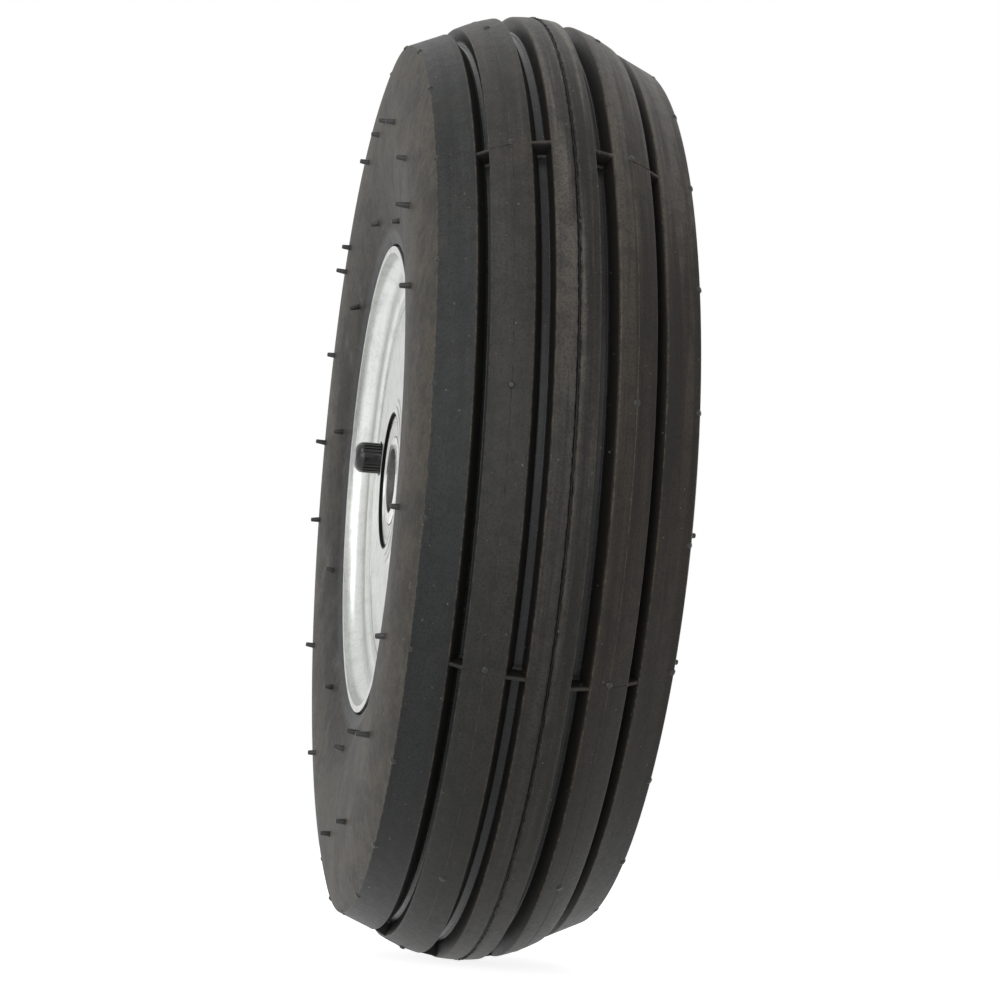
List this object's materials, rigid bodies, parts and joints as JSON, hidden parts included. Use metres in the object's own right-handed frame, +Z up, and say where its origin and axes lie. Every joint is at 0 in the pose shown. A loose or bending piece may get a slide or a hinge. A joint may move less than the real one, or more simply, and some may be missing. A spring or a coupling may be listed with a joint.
{
  "type": "tedder wheel",
  "caption": "Pneumatic hay tedder wheel: ribbed tyre with dammed grooves, inner tube and bent valve on a welded steel rim, spinning on a shielded ball-bearing hub.",
  "frame": {"origin": "wheel centre, on the axle's axis and on the tyre's middle plane", "axes": "+Y along the axle's axis, pointing inboard; the valve side faces -Y; +Z up"},
  "size_m": [0.3619, 0.107, 0.362],
  "materials": {
    "tyre_rubber": "natural black-brown tyre rubber with a dusty matt bloom",
    "tube_rubber": "smooth black butyl rubber",
    "seal_rubber": "smooth black rubber",
    "bead_wire": "bronze-coated steel wire",
    "galvanised_steel": "bright galvanised pressed steel",
    "bearing_steel": "ground bearing steel",
    "ball_steel": "polished steel",
    "cage_steel": "pressed steel",
    "shield_steel": "plain pressed steel",
    "sleeve_steel": "cut steel tube",
    "valve_brass": "turned brass",
    "fastener_steel": "zinc-plated steel",
    "spring_steel": "spring wire",
    "cap_plastic": "black moulded plastic"
  },
  "bodies": {
    "axle_rings": {"outboard_inner_race": "bearing_steel", "inboard_inner_race": "bearing_steel", "spacer_sleeve": "sleeve_steel"},
    "wheel": {"tyre": "tyre_rubber", "vent_spews": "tyre_rubber", "bead_wire_bundles": "bead_wire", "inner_tube": "tube_rubber", "rim_barrel": "galvanised_steel", "outboard_disc": "galvanised_steel", "inboard_disc": "galvanised_steel", "rim_welds": "galvanised_steel", "hub_tube": "galvanised_steel", "hub_welds": "galvanised_steel", "outboard_outer_race": "bearing_steel", "inboard_outer_race": "bearing_steel", "outboard_shields": "shield_steel", "inboard_shields": "shield_steel", "valve_stem": "valve_brass", "stem_washer": "fastener_steel", "stem_nut": "fastener_steel", "valve_core_body": "valve_brass", "valve_core_spring": "spring_steel"},
    "outboard_ball_set": {"outboard_cage": "cage_steel", "outboard_balls": "ball_steel"},
    "inboard_ball_set": {"inboard_cage": "cage_steel", "inboard_balls": "ball_steel"},
    "core_pin": {"valve_core_pin": "valve_brass", "valve_core_seal": "seal_rubber"},
    "cap_seal": {"cap_seal": "seal_rubber"},
    "valve_cap": {"valve_cap": "cap_plastic"}
  },
  "joints": [
    {"name": "wheel_spin", "type": "hinge", "parent": "axle_rings", "child": "wheel", "pos_m": [0, 0, 0], "axis": [0, 1, 0], "continuous": true},
    {"name": "outboard_cage_spin", "type": "hinge", "parent": "axle_rings", "child": "outboard_ball_set", "pos_m": [0, -0.0275, 0], "axis": [0, 1, 0], "continuous": true},
    {"name": "inboard_cage_spin", "type": "hinge", "parent": "axle_rings", "child": "inboard_ball_set", "pos_m": [0, 0.0275, 0], "axis": [0, 1, 0], "continuous": true},
    {"name": "core_pin_press", "type": "slide", "parent": "wheel", "child": "core_pin", "axis": [0, 1, 0], "range_m": [0, 0.0012], "stiffness_N_per_m": 400, "deforming": ["valve_core_spring"]},
    {"name": "cap_lift", "type": "slide", "parent": "wheel", "child": "cap_seal", "axis": [0, -1, 0], "range_m": [0, 0.00716]},
    {"name": "cap_turn", "type": "hinge", "parent": "cap_seal", "child": "valve_cap", "pos_m": [-0.04581, -0.0393, 0.0155], "axis": [0, -1, 0], "range_deg": [0, 3240]}
  ],
  "couplings": [
    {"joint": "outboard_cage_spin", "follows": "wheel_spin", "ratio": 0.60309},
    {"joint": "inboard_cage_spin", "follows": "wheel_spin", "ratio": 0.60309},
    {"joint": "cap_lift", "follows": "cap_turn", "m_per_rad": 0.00012637}
  ]
}
